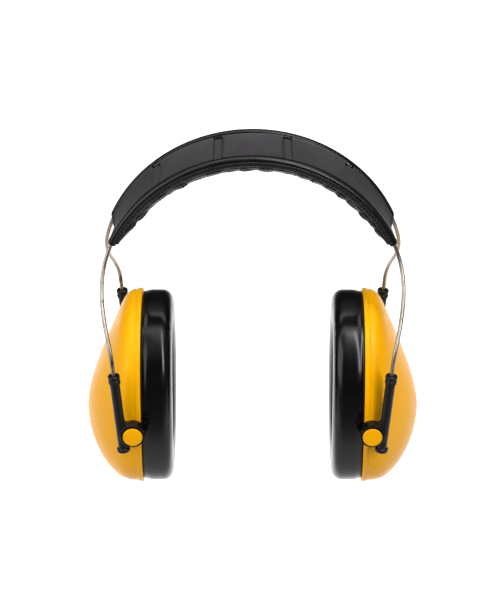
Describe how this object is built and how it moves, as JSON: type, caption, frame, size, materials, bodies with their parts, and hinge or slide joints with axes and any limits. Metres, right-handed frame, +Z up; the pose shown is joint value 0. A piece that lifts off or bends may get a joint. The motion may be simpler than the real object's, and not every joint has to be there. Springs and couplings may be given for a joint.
{
  "type": "earmuff hearing protector",
  "caption": "Over-ear hearing protector: padded ear cups on sliding, tilting yokes, joined by a twin-wire headband with a padded cover.",
  "frame": {"origin": "midway between the flat faces of the two ear cushions, level with the middle of the cups: the middle of the wearer's head", "axes": "+Z up through the crown of the headband, X from cup to cup, -Y is the front"},
  "size_m": [0.1638, 0.0946, 0.1823],
  "materials": {
    "yellow_abs": "moulded ABS, glossy warm yellow",
    "yoke_nylon": "moulded black nylon, satin",
    "cover_vinyl": "moulded charcoal vinyl, fine matte grain, darker semi-gloss rims",
    "pad_vinyl": "soft black vinyl skin with a finely ribbed edge",
    "cushion_vinyl": "black PVC skin, glossy",
    "plate_plastic": "moulded black plastic",
    "foam": "open-cell grey polyurethane foam",
    "spring_steel": "drawn spring steel wire, satin"
  },
  "bodies": {
    "headband": {"band_cover": "cover_vinyl", "band_pad_cover": "pad_vinyl", "band_pad_foam": "foam", "front_wire": "spring_steel", "rear_wire": "spring_steel"},
    "left_front_yoke": {"left_front_slider": "yoke_nylon", "left_front_slider_collar": "yoke_nylon"},
    "left_rear_yoke": {"left_rear_slider": "yoke_nylon", "left_rear_slider_collar": "yoke_nylon"},
    "left_cup": {"left_cup_shell": "yellow_abs", "left_foam_liner": "foam", "left_cushion_plate": "plate_plastic", "left_cushion_foam": "foam", "left_cushion_cover": "cushion_vinyl"},
    "right_front_yoke": {"right_front_slider": "yoke_nylon", "right_front_slider_collar": "yoke_nylon"},
    "right_rear_yoke": {"right_rear_slider": "yoke_nylon", "right_rear_slider_collar": "yoke_nylon"},
    "right_cup": {"right_cup_shell": "yellow_abs", "right_foam_liner": "foam", "right_cushion_plate": "plate_plastic", "right_cushion_foam": "foam", "right_cushion_cover": "cushion_vinyl"}
  },
  "joints": [
    {"name": "left_front_slide", "type": "slide", "parent": "headband", "child": "left_front_yoke", "axis": [0.0906, 0, -0.9959], "range_m": [-0.006, 0.025]},
    {"name": "left_rear_slide", "type": "slide", "parent": "headband", "child": "left_rear_yoke", "axis": [0.0906, 0, -0.9959], "range_m": [-0.006, 0.025]},
    {"name": "left_cup_tilt", "type": "hinge", "parent": "left_front_yoke", "child": "left_cup", "pos_m": [-0.058, 0, -0.002], "axis": [0, 1, 0], "range_deg": [-15, 15]},
    {"name": "right_front_slide", "type": "slide", "parent": "headband", "child": "right_front_yoke", "axis": [-0.0906, 0, -0.9959], "range_m": [-0.006, 0.025]},
    {"name": "right_rear_slide", "type": "slide", "parent": "headband", "child": "right_rear_yoke", "axis": [-0.0906, 0, -0.9959], "range_m": [-0.006, 0.025]},
    {"name": "right_cup_tilt", "type": "hinge", "parent": "right_front_yoke", "child": "right_cup", "pos_m": [0.058, 0, -0.002], "axis": [0, 1, 0], "range_deg": [-15, 15]}
  ],
  "couplings": [
    {"joint": "left_rear_slide", "follows": "left_front_slide", "ratio": 1},
    {"joint": "right_rear_slide", "follows": "right_front_slide", "ratio": 1}
  ]
}
